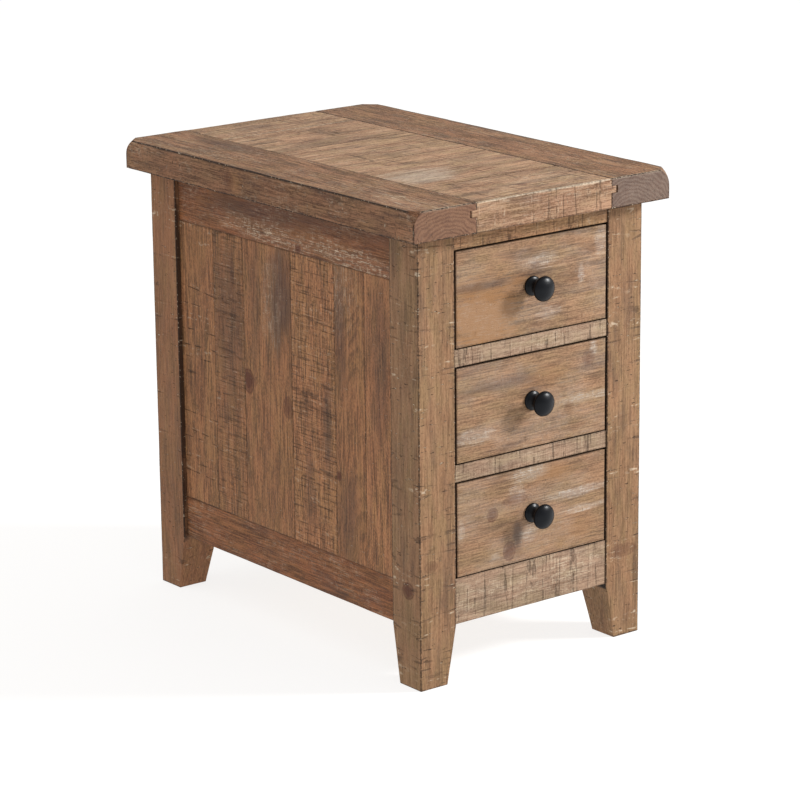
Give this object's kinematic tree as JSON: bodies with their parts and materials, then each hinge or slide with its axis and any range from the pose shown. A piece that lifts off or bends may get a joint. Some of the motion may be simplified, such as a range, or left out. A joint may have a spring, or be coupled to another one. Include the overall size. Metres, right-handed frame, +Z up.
{
  "type": "side table with drawers",
  "caption": "Small pine end table: square posts tapered at the feet, planked sides, stacked drawers with round black knobs, and a thick boarded top with rounded corners.",
  "frame": {"origin": "on the floor under the middle of the top", "axes": "+X to the right across the table seen from the front, -Y to the front, +Z up"},
  "size_m": [0.4064, 0.6146, 0.6096],
  "materials": {
    "pine_case": "waxed brown pine, planed and sawn faces, worn edges",
    "pine_top": "grey-brown waxed pine, sawn marks, chalky worn edges",
    "pine_drawer": "tan pine with grey wash",
    "drawer_box_wood": "bare planed softwood",
    "hidden_wood": "bare sawn softwood",
    "plywood": "bare thin plywood",
    "knob_black": "satin black",
    "screw_steel": "zinc-plated steel"
  },
  "bodies": {
    "case": {"back_bottom_rail": "pine_case", "back_panel": "hidden_wood", "back_top_rail": "pine_case", "divider_rail_lower": "pine_case", "divider_rail_upper": "pine_case", "drawer_runners": "hidden_wood", "drawer_stop_blocks": "hidden_wood", "front_bottom_rail": "pine_case", "front_top_rail": "pine_case", "post_front_left": "pine_case", "post_front_right": "pine_case", "post_rear_left": "pine_case", "post_rear_right": "pine_case", "side_bottom_rail_left": "pine_case", "side_bottom_rail_right": "pine_case", "side_plank_left_1": "pine_case", "side_plank_left_2": "pine_case", "side_plank_left_3": "pine_case", "side_plank_left_4": "pine_case", "side_plank_left_5": "pine_case", "side_plank_left_6": "pine_case", "side_plank_right_1": "pine_case", "side_plank_right_2": "pine_case", "side_plank_right_3": "pine_case", "side_plank_right_4": "pine_case", "side_plank_right_5": "pine_case", "side_plank_right_6": "pine_case", "side_top_rail_left": "pine_case", "side_top_rail_right": "pine_case", "top_cleats": "hidden_wood", "top_cross_board_1": "pine_top", "top_cross_board_2": "pine_top", "top_cross_board_3": "pine_top", "top_cross_board_4": "pine_top", "top_cross_board_5": "pine_top", "top_screws": "screw_steel", "top_side_board_left": "pine_top", "top_side_board_right": "pine_top"},
    "drawer_top": {"drawer_top_back": "drawer_box_wood", "drawer_top_front": "pine_drawer", "drawer_top_knob": "knob_black", "drawer_top_knob_screw": "screw_steel", "drawer_top_panel": "plywood", "drawer_top_side_left": "drawer_box_wood", "drawer_top_side_right": "drawer_box_wood"},
    "drawer_middle": {"drawer_middle_back": "drawer_box_wood", "drawer_middle_front": "pine_drawer", "drawer_middle_knob": "knob_black", "drawer_middle_knob_screw": "screw_steel", "drawer_middle_panel": "plywood", "drawer_middle_side_left": "drawer_box_wood", "drawer_middle_side_right": "drawer_box_wood"},
    "drawer_bottom": {"drawer_bottom_back": "drawer_box_wood", "drawer_bottom_front": "pine_drawer", "drawer_bottom_knob": "knob_black", "drawer_bottom_knob_screw": "screw_steel", "drawer_bottom_panel": "plywood", "drawer_bottom_side_left": "drawer_box_wood", "drawer_bottom_side_right": "drawer_box_wood"}
  },
  "joints": [
    {"name": "drawer_top_slide", "type": "slide", "parent": "case", "child": "drawer_top", "axis": [0, -1, 0], "range_m": [0, 0.339]},
    {"name": "drawer_middle_slide", "type": "slide", "parent": "case", "child": "drawer_middle", "axis": [0, -1, 0], "range_m": [0, 0.339]},
    {"name": "drawer_bottom_slide", "type": "slide", "parent": "case", "child": "drawer_bottom", "axis": [0, -1, 0], "range_m": [0, 0.339]}
  ]
}
